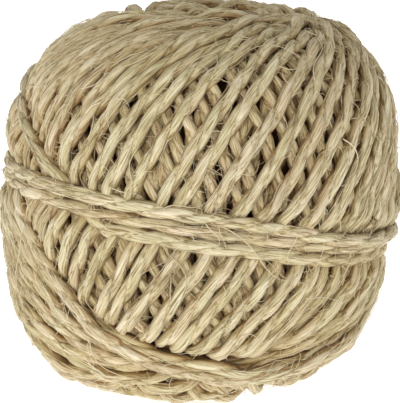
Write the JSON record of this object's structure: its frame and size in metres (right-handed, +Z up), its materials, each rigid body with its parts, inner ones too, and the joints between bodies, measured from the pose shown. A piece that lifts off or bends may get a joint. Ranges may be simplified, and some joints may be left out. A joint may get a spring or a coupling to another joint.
{
  "type": "ball of string",
  "caption": "Drum-like ball of two-ply natural fibre string, wound on a slant with a belt round its waist, resting on a small flat spot.",
  "frame": {"origin": "middle of the ball's box, at the flat spot on which it rests", "axes": "+Z up, from the flat spot through the ball; -Y towards the viewer, who sees the slanting turns rise to the right (+X)"},
  "size_m": [0.0801, 0.08, 0.0759],
  "materials": {
    "string": "dry pale straw sisal fibre, matt with a faint silky sheen"
  },
  "bodies": {
    "root": {"string_ball": "string"}
  },
  "joints": []
}
